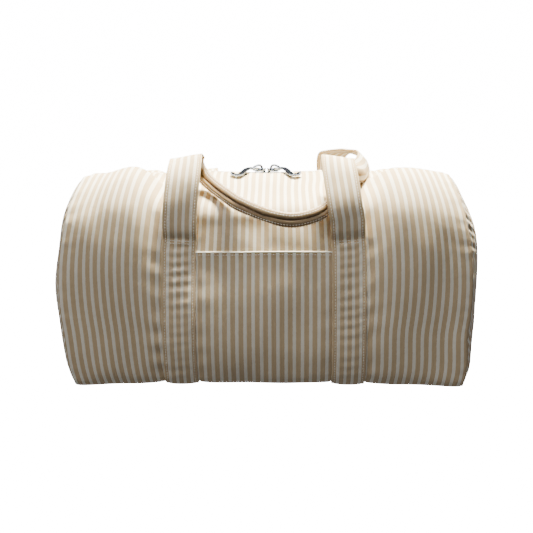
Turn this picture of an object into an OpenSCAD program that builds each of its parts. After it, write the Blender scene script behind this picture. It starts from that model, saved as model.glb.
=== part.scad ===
// Soft weekender bag: two wrap panels and a bottom between domed end panels, a zipper along
// the ridge, a slip pocket, sewn straps and two strap handles that fall open from their stitching.
// Frame: X along the bag, front faces -Y, +Z up, origin at the centre of the flat base.

/* [Bag] */
// Length over the domed ends
bag_length = 508; // [480:2:540]
// Depth from front to back at the belly
bag_depth = 240; // [230:2:260]
// Height at the zipper ridge
bag_height = 244; // [232:1:255]
// Radius of the dome of each end panel
end_dome_r = 300; // [290:5:340]
// Thickness of the outer cloth with its backing
cloth_t = 1.5; // [1.2:0.1:1.6]
// Thickness of the lining cloth
lining_t = 0.7; // [0.5:0.1:0.8]
// Air left between neighbouring layers
layer_gap = 0.2; // [0.1:0.05:0.25]

/* [Straps and handles] */
// Width of the strap
strap_w = 38; // [32:1:40]
// Thickness of the doubled strap
strap_t = 2.4; // [2:0.1:3]
// Distance from the middle of the bag to the middle of a strap
strap_x = 94.5; // [88:0.5:110]
// Height of the cross stitching, where the free handle starts
stitch_z = 168; // [160:1:172]
// Length of the straight rise of the handle above the stitching
riser_len = 94; // [88:1:98]
// Radius of the bend at the top of a riser, at mid thickness
bend_r = 13; // [11:0.5:15]
// Length of the tail behind the bend, where the grip is sewn on
tail_len = 14; // [10:1:15]
// Thickness of the folded grip
grip_d = 13; // [10:0.5:14]
// How far the middle of the grip hangs below its ends
grip_drop = 52; // [46:1:54]
// How far the middle of the grip hangs in front of its ends
grip_reach = 54; // [52:1:58]

/* [Pocket] */
// Height of the top edge of the slip pocket
pocket_z = 154; // [120:1:160]
// Thickness of the pocket cloth
pocket_t = 1.4; // [1:0.1:1.6]

/* [Zipper] */
// Width of the open slot between the panel edges
slot_w = 12; // [11.6:0.2:14]
// Width of one zipper tape
tape_w = 15; // [12:1:18]
// Radius of one row of coil
coil_r = 1.2; // [1:0.05:1.25]
// Length of a slider
slider_len = 14; // [13.5:0.5:16]
// Width of a slider
slider_w = 10.8; // [10.2:0.2:10.8]
// Length of a pull from its hinge
pull_len = 30; // [22:1:34]
// Width of a pull
pull_w = 6.4; // [5:0.2:8]
// Angle by which a resting pull points to the front
pull_turn = 25; // [15:1:25]

/* [Base] */
// Thickness of the stiffening board
board_t = 2.5; // [1.5:0.5:4]

/* [Hidden] */
$fn = 96;

stripe_cloth = [0.86, 0.79, 0.69];
strap_cloth = [0.82, 0.74, 0.62];
pocket_cloth = [0.88, 0.82, 0.73];
lining_cloth = [0.93, 0.91, 0.87];
tape_cloth = [0.90, 0.87, 0.81];
coil_plastic = [0.86, 0.83, 0.77];
board_plastic = [0.30, 0.30, 0.31];
nickel = [0.70, 0.72, 0.74];

big = 2 * bag_length;

// Cross-section of the bag: circles [y, z, radius] that a tight band of cloth runs around.
belly_r = 50;
top_edge_r = 26;
ridge_r = 40;
base_r = 28;
FRONT_ROUNDS = [
  [-(bag_depth / 2 - base_r), base_r, base_r],
  [-(bag_depth / 2 - belly_r), 90, belly_r],
  [-(bag_depth / 2 - 48), bag_height - 53, top_edge_r]
];
RIDGE_ROUND = [0, bag_height - ridge_r, ridge_r];
BACK_ROUNDS = [for (i = [len(FRONT_ROUNDS) - 1 : -1 : 0])
  [-FRONT_ROUNDS[i][0], FRONT_ROUNDS[i][1], FRONT_ROUNDS[i][2]]];
ROUNDS = concat(FRONT_ROUNDS, [RIDGE_ROUND], BACK_ROUNDS);
facet_deg = 6;
base_half = bag_depth / 2 - base_r;
end_centre_z = 110;
end_centre_x = bag_length / 2 - end_dome_r;

// Layers, as the distance of each face inside the outer cloth's outer face.
tape_t = 0.7;
tape_g = -(cloth_t + layer_gap);
lining_g = tape_g - tape_t - layer_gap;
binding_g = lining_g - lining_t - 0.3;
binding_w = 5.4;
binding_t = 2.4;
end_lining_g = -(cloth_t + 0.6);
end_binding_g = end_lining_g - lining_t - 0.3;
base_cut_z = 1.5;

// Straps lie on the front face between the second and third rounds.
skin_gap = 0.3;
strap_mid_g = skin_gap + strap_t / 2;
hinge_gap = 1.8;
FACE_N = tangent_normal(FRONT_ROUNDS[1], FRONT_ROUNDS[2]);
FACE_P = [FRONT_ROUNDS[2][0], FRONT_ROUNDS[2][1]]
  + (FRONT_ROUNDS[2][2] + strap_mid_g) * FACE_N;
FACE_UP = [FACE_N[1], -FACE_N[0]];
HINGE = FACE_P + FACE_UP * ((stitch_z - FACE_P[1]) / FACE_UP[1]);
face_lean = atan2(FACE_UP[0], FACE_UP[1]);

// Grip: a bar that leaves the tails of the two risers and hangs in front of the top edge.
TAIL_END = HINGE + FACE_UP * (riser_len - tail_len) - FACE_N * 2 * bend_r;
grip_half = strap_x - strap_w / 2;
grip_end_z = TAIL_END[1] + 2;
grip_sides = 12;
grip_rings = 32;

// Zipper levels, measured at the ridge.
coil_y = coil_r + 0.7;
coil_z = bag_height + tape_g - 0.3;
slider_clear = 0.4;
plate_t = 1.3;
post_w = 0.8;
nose_gap = 0.8;
bridge_h = 5.2;
bridge_bar = 1.8;
bridge_w = 1.6;
plate_top_z = coil_z + coil_r + slider_clear + plate_t;
bridge_x1 = nose_gap + slider_len - 1;
bridge_x0 = bridge_x1 - 12;
ring_in_r = 3.4;
ring_out_r = 4.8;
ring_t = 1.4;
pull_hinge_x = bridge_x1 - 3.4;
pull_hinge_z = plate_top_z + 1.4;
ring_mid = (ring_in_r + ring_out_r) / 2;
chain_half = 205;

// Outward normal of the line that runs tangent from round a to the next round b.
function tangent_normal(a, b) =
  let (
    d = [b[0] - a[0], b[1] - a[1]],
    u = d / norm(d),
    s = (a[2] - b[2]) / norm(d)
  )
  u * s + [-u[1], u[0]] * sqrt(1 - s * s);

// Points on a round from one normal to the next, clockwise seen from +X.
function arc_points(r, n0, n1, grow) =
  let (
    a1 = atan2(n1[1], n1[0]),
    a0 = atan2(n0[1], n0[0]),
    sweep = (a0 - a1 + 720) % 360,
    steps = max(1, ceil(sweep / facet_deg))
  )
  [for (i = [0 : steps])
    let (a = a0 - sweep * i / steps)
    [r[0], r[1]] + (r[2] + grow) * [cos(a), sin(a)]];

// The cross-section, grown by the given distance, drawn with Y to the right and Z up.
module section_2d(grow) {
  count = len(ROUNDS);
  polygon([for (
    i = [0 : count - 1],
    p = arc_points(
      ROUNDS[i],
      tangent_normal(ROUNDS[(i + count - 1) % count], ROUNDS[i]),
      tangent_normal(ROUNDS[i], ROUNDS[(i + 1) % count]),
      grow
    )
  ) p]);
}

module along_x(half_len)
  rotate([90, 0, 90])
    translate([0, 0, -half_len])
      linear_extrude(2 * half_len)
        children();

// The space between two grown cross-sections, as long as the bag.
module wrap_band(inner, outer)
  along_x(bag_length / 2 + 1)
    difference() {
      section_2d(outer);
      section_2d(inner);
    }

module end_ball(side, grow)
  translate([side * end_centre_x, 0, end_centre_z])
    rotate([0, 0, side > 0 ? 180 : 0])
      sphere(r = end_dome_r + grow);

// Cuts its children off at both domed ends.
module between_ends(grow)
  intersection() {
    children();
    end_ball(1, grow);
    end_ball(-1, grow);
  }

// Keeps the front (side -1) or the back (side 1), from y0 outward and above z0.
module wrap_side(side, y0, z0)
  intersection() {
    children();
    translate([-big / 2, side > 0 ? y0 : -y0 - big, z0])
      cube([big, big, big]);
  }

module outer_wrap(side)
  difference() {
    wrap_side(side, slot_w / 2, -1)
      between_ends(0)
        wrap_band(-cloth_t, 0);
    translate([-big / 2, -base_half, -1])
      cube([big, 2 * base_half, cloth_t + 2]);
  }

module front_panel() {
  color(stripe_cloth) outer_wrap(-1);
}

module back_panel() {
  color(stripe_cloth) outer_wrap(1);
}

module bottom_panel() {
  color(stripe_cloth)
    between_ends(0)
      translate([-big / 2, -base_half, 0])
        cube([big, 2 * base_half, cloth_t]);
}

// A layer of an end panel: a piece of a ball's skin that fits inside the wrap.
module end_skin(side, outer, thickness, wrap_g) {
  intersection() {
    translate([side > 0 ? bag_length / 4 : -3 * bag_length / 4, -big / 2, 0])
      cube([bag_length / 2, big, big]);
    along_x(bag_length / 2 + 1) section_2d(wrap_g);
    difference() {
      end_ball(side, outer);
      end_ball(side, outer - thickness);
    }
  }
}

module left_end_panel() {
  color(stripe_cloth) end_skin(-1, 0, cloth_t, tape_g);
}

module right_end_panel() {
  color(stripe_cloth) end_skin(1, 0, cloth_t, tape_g);
}

module front_pocket() {
  color(pocket_cloth)
    intersection() {
      wrap_band(skin_gap, skin_gap + pocket_t);
      translate([-grip_half + skin_gap, -bag_depth, base_cut_z])
        cube([2 * (grip_half - skin_gap), bag_depth, pocket_z - base_cut_z]);
    }
}

// A sewn length of strap, from the bottom seam to the cross stitching.
module sewn_strap(side_x, side_y)
  color(strap_cloth)
    intersection() {
      wrap_band(skin_gap, skin_gap + strap_t);
      translate([side_x * strap_x - strap_w / 2, side_y > 0 ? 0 : -bag_depth, base_cut_z])
        cube([strap_w, bag_depth, stitch_z - hinge_gap - base_cut_z]);
    }

module front_left_strap() {
  sewn_strap(-1, -1);
}

module front_right_strap() {
  sewn_strap(1, -1);
}

module back_left_strap() {
  sewn_strap(-1, 1);
}

module back_right_strap() {
  sewn_strap(1, 1);
}

module zipper_tape(side)
  color(tape_cloth)
    intersection() {
      between_ends(tape_g)
        wrap_band(tape_g - tape_t, tape_g);
      translate([-big / 2, side > 0 ? coil_y + coil_r + 0.1 : -coil_y - coil_r - 0.1 - tape_w,
                 bag_height / 2])
        cube([big, tape_w, big]);
    }

module zipper_tape_front() {
  zipper_tape(-1);
}

module zipper_tape_back() {
  zipper_tape(1);
}

module zipper_coil(side)
  color(coil_plastic)
    translate([-chain_half, side * coil_y, coil_z])
      rotate([0, 90, 0])
        cylinder(r = coil_r, h = 2 * chain_half);

module zipper_coil_front() {
  zipper_coil(-1);
}

module zipper_coil_back() {
  zipper_coil(1);
}

module lining_wrap(side)
  color(lining_cloth)
    difference() {
      wrap_side(side, tape_w - 3, -1)
        between_ends(end_lining_g - lining_t - layer_gap)
          wrap_band(lining_g - lining_t, lining_g);
      translate([-big / 2, -base_half, -1])
        cube([big, 2 * base_half, 8]);
    }

module lining_front() {
  lining_wrap(-1);
}

module lining_back() {
  lining_wrap(1);
}

module lining_bottom() {
  color(lining_cloth)
    between_ends(end_lining_g - lining_t - layer_gap)
      translate([-big / 2, -base_half, -lining_g])
        cube([big, 2 * base_half, lining_t]);
}

module lining_left_end() {
  color(lining_cloth) end_skin(-1, end_lining_g, lining_t, lining_g);
}

module lining_right_end() {
  color(lining_cloth) end_skin(1, end_lining_g, lining_t, lining_g);
}

// Tape that binds the seam allowances inside the bag, all round an end.
module seam_binding(side)
  color(tape_cloth)
    difference() {
      end_skin(side, end_binding_g, binding_t, binding_g);
      along_x(bag_length / 2 + 2) section_2d(binding_g - binding_w);
    }

module left_seam_binding() {
  seam_binding(-1);
}

module right_seam_binding() {
  seam_binding(1);
}

board_half_x = bag_length / 2 - 46;
board_half_y = base_half - 5;
board_corner_r = 14;

module base_board() {
  color(board_plastic)
    translate([0, 0, -binding_g])
      linear_extrude(board_t)
        union() {
          square([2 * board_half_x, 2 * (board_half_y - board_corner_r)], center = true);
          square([2 * (board_half_x - board_corner_r), 2 * board_half_y], center = true);
          for (sx = [-1, 1], sy = [-1, 1])
            translate([sx * (board_half_x - board_corner_r), sy * (board_half_y - board_corner_r)])
              circle(r = board_corner_r);
        }
}

// The back of the bag is the front turned half round.
module turned(back)
  rotate([0, 0, back ? 180 : 0])
    children();

// Side view of a riser: up from the stitching, over the bend and down the tail. Drawn upright,
// with the stitching at the origin and the inside of the bag to the right.
module riser_2d() {
  straight = riser_len - hinge_gap;
  translate([-strap_t / 2, hinge_gap])
    square([strap_t, straight]);
  translate([bend_r, riser_len])
    intersection() {
      difference() {
        circle(r = bend_r + strap_t / 2);
        circle(r = bend_r - strap_t / 2);
      }
      translate([-2 * bend_r, 0])
        square([4 * bend_r, 2 * bend_r]);
    }
  translate([2 * bend_r - strap_t / 2, riser_len - tail_len])
    square([strap_t, tail_len]);
}

module handle_riser(side_x, back)
  color(strap_cloth)
    turned(back)
      translate([(back ? -side_x : side_x) * strap_x, HINGE[0], HINGE[1]])
        rotate([90, 0, 90])
          translate([0, 0, -strap_w / 2])
            linear_extrude(strap_w)
              rotate(-face_lean)
                riser_2d();

// Centre line of the grip at s from -1 to 1.
function grip_point(s) = [
  s * grip_half,
  TAIL_END[0] - grip_reach * (1 - pow(abs(s), 2.5)),
  grip_end_z - grip_drop * (1 + cos(180 * min(abs(s) * 0.92, 1))) / 2
];

// One ring of the grip, upright and square to X.
function grip_ring(s) =
  let (p = grip_point(s))
  [for (k = [0 : grip_sides - 1])
    let (a = 360 * k / grip_sides)
    p + grip_d / 2 * [0, cos(a), sin(a)]];

module grip(back) {
  points = [for (i = [0 : grip_rings], p = grip_ring(2 * i / grip_rings - 1)) p];
  walls = [for (i = [0 : grip_rings - 1], k = [0 : grip_sides - 1])
    let (
      a = i * grip_sides + k,
      b = i * grip_sides + (k + 1) % grip_sides
    )
    [a, b, b + grip_sides, a + grip_sides]];
  start_cap = [[for (k = [grip_sides - 1 : -1 : 0]) k]];
  end_cap = [[for (k = [0 : grip_sides - 1]) grip_rings * grip_sides + k]];
  color(strap_cloth)
    turned(back)
      polyhedron(points, concat(walls, start_cap, end_cap));
}

module front_handle_left_riser() {
  handle_riser(-1, false);
}

module front_handle_right_riser() {
  handle_riser(1, false);
}

module front_handle_grip() {
  grip(false);
}

module back_handle_left_riser() {
  handle_riser(-1, true);
}

module back_handle_right_riser() {
  handle_riser(1, true);
}

module back_handle_grip() {
  grip(true);
}

// Side view of the bridge on a slider, standing on its upper plate.
module bridge_2d() {
  length = bridge_x1 - bridge_x0;
  round_r = 2.6;
  difference() {
    union() {
      square([length, bridge_h - round_r]);
      translate([round_r, 0])
        square([length - 2 * round_r, bridge_h]);
      for (x = [round_r, length - round_r])
        translate([x, bridge_h - round_r])
          circle(r = round_r);
    }
    translate([bridge_bar, -1])
      square([length - 2 * bridge_bar, bridge_h - bridge_bar + 1]);
  }
}

module slider_plate(z)
  translate([nose_gap, -slider_w / 2, z])
    cube([slider_len, slider_w, plate_t]);

// Slider for the half of the chain on the +X side, with its nose at the middle of the bag.
module slider_body() {
  lower_z = coil_z - coil_r - slider_clear - plate_t;
  flange_t = 1.1;
  slider_plate(plate_top_z - plate_t);
  slider_plate(lower_z);
  for (sy = [-1, 1]) {
    translate([nose_gap, sy * (slider_w - flange_t) / 2 - flange_t / 2, coil_z + 0.75])
      cube([slider_len, flange_t, coil_r + slider_clear - 0.75]);
    translate([nose_gap, sy * (slider_w - flange_t) / 2 - flange_t / 2, lower_z + plate_t])
      cube([slider_len, flange_t, 0.5]);
  }
  translate([nose_gap, -post_w / 2, lower_z + plate_t / 2])
    cube([3, post_w, plate_top_z - lower_z - plate_t]);
  translate([bridge_x0, bridge_w / 2, plate_top_z])
    rotate([90, 0, 0])
      linear_extrude(bridge_w)
        bridge_2d();
}

// Pull for the +X slider: a ring round the bridge and a tab that droops to the cloth.
module pull_body() {
  tab_start = 2 * ring_mid - 0.5;
  droop = 1.4;
  translate([pull_hinge_x, 0, pull_hinge_z])
    rotate([0, 0, -pull_turn]) {
      translate([ring_mid, 0, -ring_t / 2])
        difference() {
          cylinder(r = ring_out_r, h = ring_t);
          translate([0, 0, -1])
            cylinder(r = ring_in_r, h = ring_t + 2);
        }
      intersection() {
        translate([0, pull_w, 0])
          rotate([90, 0, 0])
            linear_extrude(2 * pull_w)
              polygon([
                [tab_start, ring_t / 2], [pull_len * 0.6, ring_t / 2 - droop],
                [pull_len, ring_t / 2 - 1.5 * droop], [pull_len, -ring_t / 2 - 1.5 * droop],
                [pull_len * 0.6, -ring_t / 2 - droop], [tab_start, -ring_t / 2]
              ]);
        translate([0, 0, -2 * pull_w])
          linear_extrude(4 * pull_w)
            union() {
              polygon([
                [tab_start, -pull_w / 3], [pull_len - pull_w / 2, -pull_w / 2],
                [pull_len - pull_w / 2, pull_w / 2], [tab_start, pull_w / 3]
              ]);
              translate([pull_len - pull_w / 2, 0])
                circle(r = pull_w / 2);
            }
      }
    }
}

module left_slider() {
  color(nickel) mirror([1, 0, 0]) slider_body();
}

module right_slider() {
  color(nickel) slider_body();
}

module left_pull() {
  color(nickel) mirror([1, 0, 0]) pull_body();
}

module right_pull() {
  color(nickel) pull_body();
}

front_panel();
back_panel();
bottom_panel();
left_end_panel();
right_end_panel();
front_pocket();
front_left_strap();
front_right_strap();
back_left_strap();
back_right_strap();
zipper_tape_front();
zipper_tape_back();
zipper_coil_front();
zipper_coil_back();
lining_front();
lining_back();
lining_bottom();
lining_left_end();
lining_right_end();
left_seam_binding();
right_seam_binding();
base_board();
front_handle_left_riser();
front_handle_right_riser();
front_handle_grip();
back_handle_left_riser();
back_handle_right_riser();
back_handle_grip();
left_slider();
right_slider();
left_pull();
right_pull();
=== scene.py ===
"""Striped weekender bag: sagging cloth shell, straps, rolled handles and zipper around the CAD frame."""
import math

import bpy
import numpy as np
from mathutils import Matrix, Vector


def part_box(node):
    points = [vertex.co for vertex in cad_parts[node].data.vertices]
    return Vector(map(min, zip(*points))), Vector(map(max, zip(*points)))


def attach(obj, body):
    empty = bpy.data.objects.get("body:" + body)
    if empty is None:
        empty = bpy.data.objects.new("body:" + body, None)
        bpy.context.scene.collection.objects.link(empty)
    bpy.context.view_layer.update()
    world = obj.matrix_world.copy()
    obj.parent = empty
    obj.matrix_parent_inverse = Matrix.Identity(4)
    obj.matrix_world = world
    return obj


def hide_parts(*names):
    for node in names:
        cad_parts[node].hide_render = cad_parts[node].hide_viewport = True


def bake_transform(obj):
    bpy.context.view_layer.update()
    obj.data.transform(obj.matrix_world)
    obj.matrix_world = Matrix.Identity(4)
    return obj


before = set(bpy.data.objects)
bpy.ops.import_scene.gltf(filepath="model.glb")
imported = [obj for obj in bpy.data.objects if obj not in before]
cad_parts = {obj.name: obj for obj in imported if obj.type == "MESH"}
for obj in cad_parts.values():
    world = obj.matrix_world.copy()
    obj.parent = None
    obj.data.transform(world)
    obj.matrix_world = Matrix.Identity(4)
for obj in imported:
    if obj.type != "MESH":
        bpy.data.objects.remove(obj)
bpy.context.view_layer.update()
MM = 0.001

# ---------------------------------------------------------------- sizes, in mm, from the frame


def node_box(node):
    """Lowest and highest corners of a CAD node, in mm."""
    low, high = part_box(node)
    return np.array(low) / MM, np.array(high) / MM


HALF_LEN = node_box("right_end_panel")[1][0]
STRAP_BOX = node_box("front_right_strap")
STRAP_X = (STRAP_BOX[0][0] + STRAP_BOX[1][0]) / 2
STRAP_W = STRAP_BOX[1][0] - STRAP_BOX[0][0]
HINGE_Z = STRAP_BOX[1][2] + 1.8
POCKET_Z = node_box("front_pocket")[1][2]
COIL_Y = (node_box("zipper_coil_back")[0][1] + node_box("zipper_coil_back")[1][1]) / 2
COIL_Z = (node_box("zipper_coil_back")[0][2] + node_box("zipper_coil_back")[1][2]) / 2
SLOT_Y = 6.2  # from the middle of the bag to a panel's edge at the zipper
CHAIN_HALF = 205.0  # half the length of the zipper's chain
SLIDER_TRAVEL = 185
PULL_TURN = 25  # degrees by which a resting pull points to the front
PULL_REACH = 31.5
HINGE_FROM_NOSE = 9.6  # from a slider's nose to its pull's hinge
HINGE_UNDER_TOP = 3.8  # from a slider's top down to its pull's hinge
STRIPE = 9.1  # one tan and one white stripe together
CLOTH_T = 1.2
LINING_T = 0.6
LINING_IN = 3.4  # from the outer cloth in to the lining
TAPE_T = 0.7
STRAP_T = 2.2
ROW_OUTER, ROW_INNER = 3.2, 6.4  # from a strap's edge to its two rows of stitching
FLOOR_Z = 0.4

# ---------------------------------------------------------------- number helpers


def smooth(low, high, x):
    """0 below low, 1 above high, and smooth between."""
    t = np.clip((np.asarray(x, float) - low) / (high - low), 0, 1)
    return t * t * (3 - 2 * t)


def bump(x, centre, width):
    """A soft hill of height 1."""
    return np.exp(-(((np.asarray(x, float) - centre) / width) ** 2))


def waves(x, shortest, longest, seed, count=7):
    """Irregular ripples along x, about -1 to 1."""
    rng = np.random.default_rng(seed)
    lengths = rng.uniform(shortest, longest, count)
    phases = rng.uniform(0, 2 * math.pi, count)
    parts = [np.sin(2 * math.pi * x / length + phase) for length, phase in zip(lengths, phases)]
    return sum(parts) / math.sqrt(count)


def folds(u, v, size, seed, stretch=1.0, count=10):
    """Soft irregular hills over a surface, about -1 to 1; stretch lengthens them along v."""
    rng = np.random.default_rng(seed)
    total = 0
    for _ in range(count):
        angle = rng.uniform(0, math.pi)
        length = size * rng.uniform(0.7, 1.6)
        phase = rng.uniform(0, 2 * math.pi)
        along = u * math.cos(angle) + v * math.sin(angle) / stretch
        total = total + np.sin(2 * math.pi * along / length + phase)
    return total / math.sqrt(count)


def unit(v):
    """The vectors at length 1."""
    return v / np.maximum(np.linalg.norm(v, axis=-1, keepdims=True), 1e-9)


def through(points, count):
    """A smooth curve through the points, as count points evenly spaced along it."""
    p = np.asarray(points, float)
    p = np.vstack([2 * p[0] - p[1], p, 2 * p[-1] - p[-2]])
    fine = []
    for a, b, c, d in zip(p[:-3], p[1:-2], p[2:-1], p[3:]):
        t = np.linspace(0, 1, 24, endpoint=False)[:, None]
        fine.append(
            0.5 * (2 * b + (c - a) * t + (2 * a - 5 * b + 4 * c - d) * t**2 + (3 * b - a - 3 * c + d) * t**3)
        )
    fine = np.vstack([*fine, p[-2][None]])
    run = np.concatenate([[0], np.cumsum(np.linalg.norm(np.diff(fine[:, :3], axis=0), axis=1))])
    at = np.linspace(0, run[-1], count)
    return np.stack([np.interp(at, run, fine[:, k]) for k in range(p.shape[1])], axis=1)


# ---------------------------------------------------------------- mesh helpers


def mesh_object(name, verts, faces, cloth=None):
    """A smooth-shaded object from points in mm; cloth is each point's place on the flat cloth, in mm."""
    mesh = bpy.data.meshes.new(name)
    verts = np.array(verts, float)
    verts[:, 2] = np.maximum(verts[:, 2], FLOOR_Z)
    mesh.from_pydata((verts * MM).tolist(), [], [tuple(f) for f in faces])
    if cloth is not None:
        layer = mesh.uv_layers.new(name="cloth")
        corner = np.zeros(len(mesh.loops), np.int32)
        mesh.loops.foreach_get("vertex_index", corner)
        layer.data.foreach_set("uv", (np.asarray(cloth)[corner] * MM).astype(np.float32).ravel())
    mesh.polygons.foreach_set("use_smooth", [True] * len(mesh.polygons))
    mesh.update()
    obj = bpy.data.objects.new(name, mesh)
    bpy.context.scene.collection.objects.link(obj)
    return obj


def grid_faces(rows, cols, wrap_cols=False, flip=False, start=0):
    """Quads over a grid of points stored row by row."""
    r = np.arange(rows - 1)[:, None]
    c = np.arange(cols if wrap_cols else cols - 1)[None, :]
    n = (c + 1) % cols
    quads = np.stack([r * cols + c, r * cols + n, (r + 1) * cols + n, (r + 1) * cols + c], axis=-1)
    quads = quads.reshape(-1, 4) + start
    return quads[:, ::-1] if flip else quads


def thick_sheet(name, points, cloth, thickness, flip=False):
    """A closed sheet: an outer grid of points and the same grid moved in by the thickness."""
    rows, cols = points.shape[:2]
    along = np.gradient(points, axis=0)
    across = np.gradient(points, axis=1)
    normal = unit(np.cross(across, along))
    if flip:
        normal = -normal
    inner = points - normal * thickness
    count = rows * cols
    verts = np.vstack([points.reshape(-1, 3), inner.reshape(-1, 3)])
    faces = [grid_faces(rows, cols, flip=not flip), grid_faces(rows, cols, flip=flip, start=count)]
    index = np.arange(count).reshape(rows, cols)
    edge = np.concatenate([index[0, :], index[1:, -1], index[-1, -2::-1], index[-2:0:-1, 0]])
    follow = np.roll(edge, -1)
    rim = np.stack([edge, follow, follow + count, edge + count], axis=1)
    faces.append(rim if not flip else rim[:, ::-1])
    uv = np.vstack([cloth.reshape(-1, 2)] * 2)
    return mesh_object(name, verts, np.vstack(faces), uv)


def tube(points, radius, sides=8):
    """Points and faces of a round tube along a line of points."""
    p = np.asarray(points, float)
    tangent = unit(np.gradient(p, axis=0))
    side = np.zeros_like(p)
    guide = np.array([0.0, 0.0, 1.0]) if abs(tangent[0][2]) < 0.9 else np.array([1.0, 0.0, 0.0])
    for i, t in enumerate(tangent):
        guide = guide - t * guide.dot(t)
        guide = guide / np.linalg.norm(guide)
        side[i] = guide
    other = np.cross(tangent, side)
    angle = np.linspace(0, 2 * math.pi, sides, endpoint=False)
    radius = np.broadcast_to(np.asarray(radius, float), (len(p),))
    ring = side[:, None] * np.cos(angle)[None, :, None] + other[:, None] * np.sin(angle)[None, :, None]
    verts = (p[:, None] + ring * radius[:, None, None]).reshape(-1, 3)
    faces = [tuple(f) for f in grid_faces(len(p), sides, wrap_cols=True)]
    faces.append(tuple(range(sides))[::-1])
    faces.append(tuple(range(len(verts) - sides, len(verts))))
    return verts, faces


def join_parts(name, parts):
    """One object from several (points, faces) pairs."""
    verts, faces, start = [], [], 0
    for v, f in parts:
        verts.append(v)
        faces += [tuple(i + start for i in face) for face in f]
        start += len(v)
    return mesh_object(name, np.vstack(verts), faces)


# ---------------------------------------------------------------- the shell's shape
# Half cross-sections from the zipper's edge to the bottom seam, as (distance from the middle, height).

MIDDLE = [(SLOT_Y, 244), (20, 241), (45, 230), (70, 216), (87, 206), (94.5, 196), (98, 182), (103.2, 163),
          (109, 135), (114.5, 108), (117, 85), (118, 62), (116.5, 40), (111, 18), (106, 8), (98, 3.6)]
LOBE = [(SLOT_Y, 243), (16, 239.5), (27, 236.5), (37, 235.8), (47, 241.5), (57, 247.6), (72, 246), (93, 233),
        (110, 207), (118, 174), (122, 140), (122, 107), (120, 75), (118, 42), (115, 19), (110, 7), (103, 2.6)]
SEAM = [(SLOT_Y, 243), (18, 239.5), (30, 236.5), (40, 236.5), (53, 240), (68, 236), (89, 218), (104, 190),
        (111, 157), (115, 120), (117, 85), (118, 50), (117, 24), (114, 7), (107, 1.2)]
SAMPLES = 400
MIDDLE_CURVE, LOBE_CURVE, SEAM_CURVE = (through(p, SAMPLES) for p in (MIDDLE, LOBE, SEAM))
T_STEPS = np.linspace(0, 1, SAMPLES)
FLAT_T = 345.0  # length of a flat wrap panel from zipper to bottom seam
FLAT_X = 232.0  # half its width
DOME_R = 300.0  # radius of the round that the end seams lie on, and the height of its middle
DOME_Z = 110.0


def on_curve(curve, t):
    """Distance from the middle and height, at t from zipper (0) to bottom seam (1)."""
    return np.stack([np.interp(t, T_STEPS, curve[:, k]) for k in (0, 1)], axis=-1)


def seam_x(y, z, right):
    """How far out the end seam lies at a place on it; the bottom corners flare, the right one more."""
    dome = HALF_LEN - DOME_R + np.sqrt(DOME_R**2 - y**2 - (z - DOME_Z) ** 2)
    flare = np.where(right, 13.0, 6.5)
    return dome - 1.5 - 5 * smooth(195, 250, z) + flare * smooth(70, 5, z)


def wrap(s, t, side, lift=0.0):
    """A point of the front (side -1) or back (1) panel: s from end to end, t from zipper to bottom seam."""
    s, t = np.broadcast_arrays(np.asarray(s, float), np.asarray(t, float))
    at_seam = on_curve(SEAM_CURVE, t)
    reach = seam_x(at_seam[..., 0], at_seam[..., 1], s > 0)
    x = s * reach
    lobe = smooth(98, 150, np.abs(x))[..., None]
    end = (smooth(0.7, 1.0, np.abs(s)) ** 1.2)[..., None]

    def half_section(tt):
        section = on_curve(MIDDLE_CURVE, tt) * (1 - lobe) + on_curve(LOBE_CURVE, tt) * lobe
        return section * (1 - end) + on_curve(SEAM_CURVE, tt) * end

    here = half_section(t)
    lip = smooth(0.16, 0.0, t)
    here[..., 1] += lip * (2.0 * smooth(40, 95, np.abs(x)) * (1 - lobe[..., 0]) - 2.2 * bump(x, 0, 22))
    here[..., 1] -= smooth(0.42, 0.24, t) * (2.5 + 2.5 * smooth(0.02, 0.1, t)) * bump(x, -119, 13)
    step = half_section(np.clip(t + 0.004, 0, 1)) - half_section(np.clip(t - 0.004, 0, 1))
    out = unit(np.stack([-step[..., 1], step[..., 0]], axis=-1))
    rise = lift + relief(x, reach, t, here[..., 1], side)
    here = here + out * rise[..., None]
    return np.stack([x, side * here[..., 0], here[..., 1]], axis=-1)


def wrap_at(x, t, side, lift=0.0):
    """As wrap, for a given distance x from the middle."""
    x, t = np.broadcast_arrays(np.asarray(x, float), np.asarray(t, float))
    at_seam = on_curve(SEAM_CURVE, t)
    return wrap(x / seam_x(at_seam[..., 0], at_seam[..., 1], x > 0), t, side, lift)


def relief(x, reach, t, z, side):
    """Height of the cloth's folds and puckers above the smooth shell, in mm."""
    seed = 11 if side < 0 else 31
    edge = np.clip(reach - np.abs(x), 0, None)
    loose = smooth(2, 30, edge) * smooth(0, 0.08, t) * smooth(1, 0.9, t)
    v = t * FLAT_T
    where = np.where(x > 0, 1.0, -1.0)
    total = 1.5 * loose * folds(x, v, 100, seed, 1.5)
    total = total + 0.45 * loose * folds(x, v, 38, seed + 1, 2.2)
    tight = np.where(x > 0, 0.45, 0.25) * np.exp(-edge / 9) * smooth(0, 3, edge)
    total = total + tight * waves(v + 40 * where, 12, 25, seed + 2)
    total = total - 1.7 * np.exp(-edge / 3.5)
    beside = np.abs(np.abs(x) - STRAP_X) - STRAP_W / 2
    sewn = smooth(HINGE_Z + 14, HINGE_Z - 14, z)
    total = total - 1.6 * sewn * np.exp(-np.abs(beside) / 5)
    outer = 0.35 + 0.45 * (np.abs(x) > STRAP_X)
    total = total + outer * sewn * np.exp(-np.abs(beside - 5) / 8) * waves(v + 90 * where, 16, 33, seed + 3)
    total = total + 0.35 * np.exp(-v / 9) * smooth(0, 4, v) * waves(x, 11, 23, seed + 4)
    return total


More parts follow.
